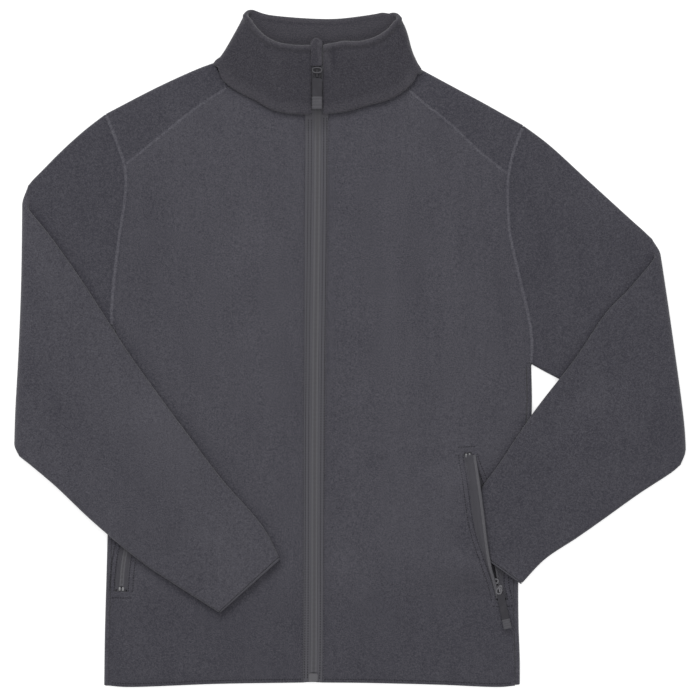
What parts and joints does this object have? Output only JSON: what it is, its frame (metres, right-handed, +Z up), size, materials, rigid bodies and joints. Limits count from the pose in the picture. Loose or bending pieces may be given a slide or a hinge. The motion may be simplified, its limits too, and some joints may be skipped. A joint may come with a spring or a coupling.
{
  "type": "fleece zip jacket",
  "caption": "Fleece jacket with a stand collar, full front zip and slanted zip pockets, laid flat with its sleeves folded over at the elbow and a cuff tucked in a pocket.",
  "frame": {"origin": "centre of the bounding box in plan, at the surface the jacket lies on", "axes": "+X to the viewer's right (the wearer's left), +Y towards the collar, +Z up from the surface"},
  "size_m": [0.7582, 0.7642, 0.0209],
  "materials": {
    "fleece": "brushed slate-grey fleece with a short matt pile",
    "binding": "smooth stretch binding",
    "zip_tape": "fine woven zip tape",
    "zip_coil": "satin nylon coil",
    "rubber_trim": "satin moulded rubber",
    "slider_metal": "satin grey enamel",
    "pocket_bag": "thin matt knit"
  },
  "bodies": {
    "jacket": {"back": "fleece", "front_right": "fleece", "front_left": "fleece", "yoke_right": "fleece", "yoke_left": "fleece", "sleeve_right": "fleece", "sleeve_left": "fleece", "collar": "fleece", "cuff_binding_right": "binding", "cuff_binding_left": "binding", "zip_garage": "binding", "zip_tape_right": "zip_tape", "zip_tape_left": "zip_tape", "zip_chain": "zip_coil", "zip_retainer": "rubber_trim", "zip_slider": "slider_metal", "pocket_bag_right": "pocket_bag", "pocket_bag_left": "pocket_bag", "pocket_tape_right_front": "zip_tape", "pocket_tape_right_side": "zip_tape", "pocket_chain_right": "zip_coil", "pocket_slider_right": "slider_metal", "pocket_pull_right": "rubber_trim", "pocket_tape_left_front": "zip_tape", "pocket_coil_left_front": "zip_coil", "pocket_tape_left_side": "zip_tape", "pocket_coil_left_side": "zip_coil", "pocket_slider_left": "slider_metal"},
    "main_pull": {"zip_pull": "rubber_trim"},
    "pocket_pull": {"pocket_pull_left": "rubber_trim"}
  },
  "joints": [
    {"name": "main_pull_hinge", "type": "hinge", "parent": "jacket", "child": "main_pull", "pos_m": [-0.03708, 0.31046, 0.01792], "axis": [-1, 0, 0], "range_deg": [0, 150]},
    {"name": "pocket_pull_hinge", "type": "hinge", "parent": "jacket", "child": "pocket_pull", "pos_m": [0.16856, -0.27152, 0.00985], "axis": [-0.9786, -0.2055, 0], "range_deg": [0, 140]}
  ]
}
